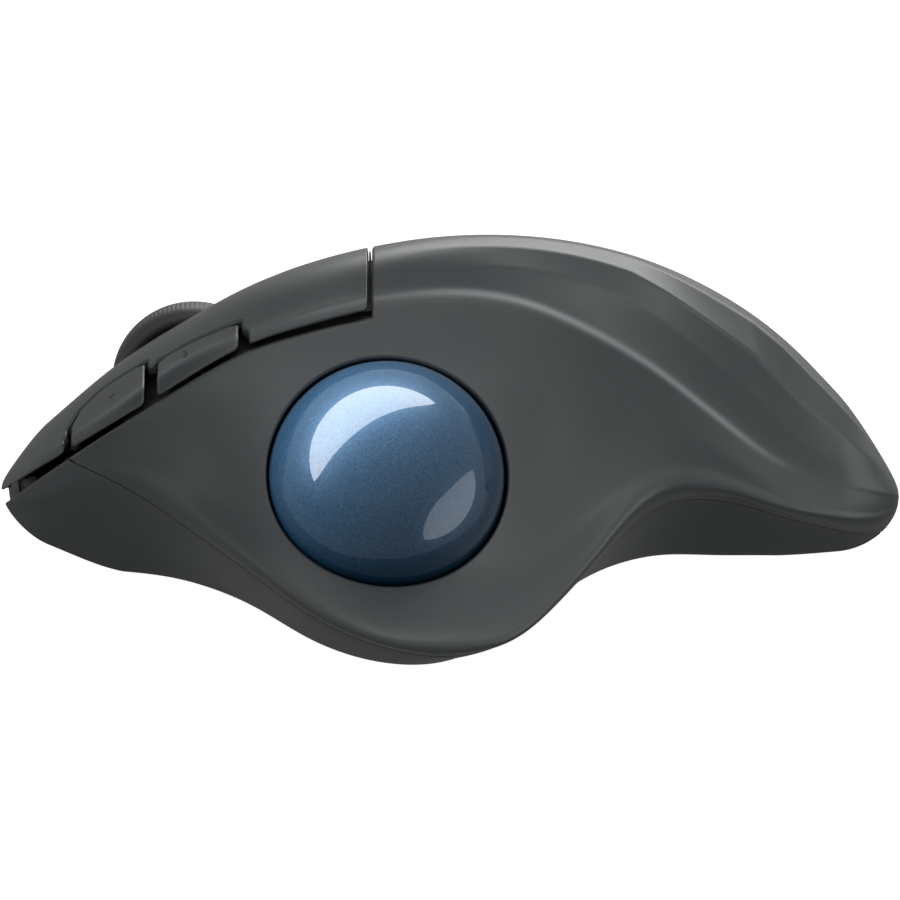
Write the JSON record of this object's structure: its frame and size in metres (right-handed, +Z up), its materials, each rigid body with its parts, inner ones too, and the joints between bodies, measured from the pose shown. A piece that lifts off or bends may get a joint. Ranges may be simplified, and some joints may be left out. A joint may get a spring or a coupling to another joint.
{
  "type": "trackball mouse",
  "caption": "Right-handed wireless trackball mouse: sculpted palm hump, scooped thumb panel with a large captive ball, split keys, leaning scroll wheel and side buttons.",
  "frame": {"origin": "centre of the bounding box in plan, on the surface that the feet stand on", "axes": "+X from the front of the keys to the tail, -Y towards the thumb and ball, +Z up"},
  "size_m": [0.134, 0.0998, 0.0478],
  "materials": {
    "case_plastic": "fine matte texture",
    "base_plastic": "fine matte texture",
    "inner_plastic": "plain moulded",
    "ball_blue": "pearl blue under clear gloss",
    "tyre_rubber": "ribbed soft rubber",
    "wheel_plastic": "moulded",
    "frame_grey": "moulded acetal",
    "bead_ceramic": "polished ceramic",
    "board_green": "solder mask",
    "ribbon_amber": "polyimide film",
    "chip_black": "moulded",
    "plunger_red": "moulded",
    "screw_steel": "zinc plated",
    "contact_nickel": "nickel plated",
    "lens_clear": "clear",
    "led_green": "epoxy",
    "cell_wrap": "printed sleeve, plain",
    "receiver_black": "moulded",
    "slider_green": "moulded",
    "foot_pad": "low-friction pad"
  },
  "bodies": {
    "case": {"upper_case": "case_plastic", "lower_case": "base_plastic", "key_frame": "inner_plastic", "wheel_bracket": "frame_grey", "wheel_encoder": "wheel_plastic", "ball_cup": "inner_plastic", "support_beads": "bead_ceramic", "cup_screws": "screw_steel", "sensor_housing": "inner_plastic", "sensor_lens": "lens_clear", "sensor_board": "board_green", "sensor_ribbon": "ribbon_amber", "main_board": "board_green", "board_screws": "screw_steel", "radio_chip": "chip_black", "left_switch": "chip_black", "right_switch": "chip_black", "wheel_switch": "chip_black", "side_board": "board_green", "side_switches": "chip_black", "battery_tray": "inner_plastic", "aa_cell": "cell_wrap", "contact_spring": "contact_nickel", "contact_plate": "contact_nickel", "usb_receiver": "receiver_black", "power_switch": "chip_black", "connect_switch": "chip_black", "status_led": "led_green", "light_guide": "lens_clear", "case_screws": "screw_steel", "feet": "foot_pad"},
    "left_key": {"left_key": "case_plastic"},
    "right_key": {"right_key": "case_plastic"},
    "back_button": {"back_button": "case_plastic"},
    "forward_button": {"forward_button": "case_plastic"},
    "wheel": {"wheel_hub": "wheel_plastic", "wheel_tyre": "tyre_rubber"},
    "wheel_carrier": {"wheel_carrier": "frame_grey"},
    "trackball": {"trackball": "ball_blue"},
    "left_plunger": {"left_plunger": "plunger_red"},
    "right_plunger": {"right_plunger": "plunger_red"},
    "wheel_plunger": {"wheel_plunger": "plunger_red"},
    "battery_door": {"battery_door": "base_plastic"},
    "power_slider": {"power_slider": "slider_green"},
    "connect_button": {"connect_button": "case_plastic"}
  },
  "joints": [
    {"name": "ball_roll", "type": "hinge", "parent": "case", "child": "trackball", "pos_m": [-0.0094, -0.0253, 0.0231], "axis": [1, 0, 0], "continuous": true},
    {"name": "left_click", "type": "hinge", "parent": "case", "child": "left_key", "pos_m": [-0.014, -0.003, 0.04], "axis": [0, -1, 0], "range_deg": [0, 0.9], "stiffness_Nm_per_rad": 6, "springref_deg": -0.57},
    {"name": "right_click", "type": "hinge", "parent": "case", "child": "right_key", "pos_m": [-0.014, 0.018, 0.034], "axis": [0, -1, 0], "range_deg": [0, 0.9], "stiffness_Nm_per_rad": 6, "springref_deg": -0.57},
    {"name": "forward_press", "type": "slide", "parent": "case", "child": "forward_button", "axis": [0, 0.26, -0.9656], "range_m": [0, 0.0006], "stiffness_N_per_m": 900, "springref_m": -0.0003},
    {"name": "back_press", "type": "slide", "parent": "case", "child": "back_button", "axis": [0, 0.26, -0.9656], "range_m": [0, 0.0006], "stiffness_N_per_m": 900, "springref_m": -0.0003},
    {"name": "wheel_click", "type": "hinge", "parent": "case", "child": "wheel_carrier", "pos_m": [-0.0233, 0.0041, 0.0183], "axis": [0, -0.9744, 0.225], "range_deg": [0, 2.5], "stiffness_Nm_per_rad": 1.2, "springref_deg": -2.86},
    {"name": "wheel_spin", "type": "hinge", "parent": "wheel_carrier", "child": "wheel", "pos_m": [-0.0383, 0.005, 0.0222], "axis": [0, 0.9744, -0.225], "continuous": true},
    {"name": "left_switch_travel", "type": "slide", "parent": "case", "child": "left_plunger", "axis": [0, 0, -1], "range_m": [0, 0.0008]},
    {"name": "right_switch_travel", "type": "slide", "parent": "case", "child": "right_plunger", "axis": [0, 0, -1], "range_m": [0, 0.0008]},
    {"name": "wheel_switch_travel", "type": "slide", "parent": "case", "child": "wheel_plunger", "axis": [0, 0, -1], "range_m": [0, 0.0006]},
    {"name": "door_release", "type": "slide", "parent": "case", "child": "battery_door", "axis": [0, 0, -1], "range_m": [0, 0.012]},
    {"name": "power_slide", "type": "slide", "parent": "case", "child": "power_slider", "axis": [1, 0, 0], "range_m": [0, 0.003]},
    {"name": "connect_press", "type": "slide", "parent": "case", "child": "connect_button", "axis": [0, 0, 1], "range_m": [0, 0.0004], "stiffness_N_per_m": 300, "springref_m": -0.0003}
  ],
  "couplings": [
    {"joint": "left_switch_travel", "follows": "left_click", "m_per_rad": 0.0365},
    {"joint": "right_switch_travel", "follows": "right_click", "m_per_rad": 0.032},
    {"joint": "wheel_switch_travel", "follows": "wheel_click", "m_per_rad": 0.0127}
  ]
}
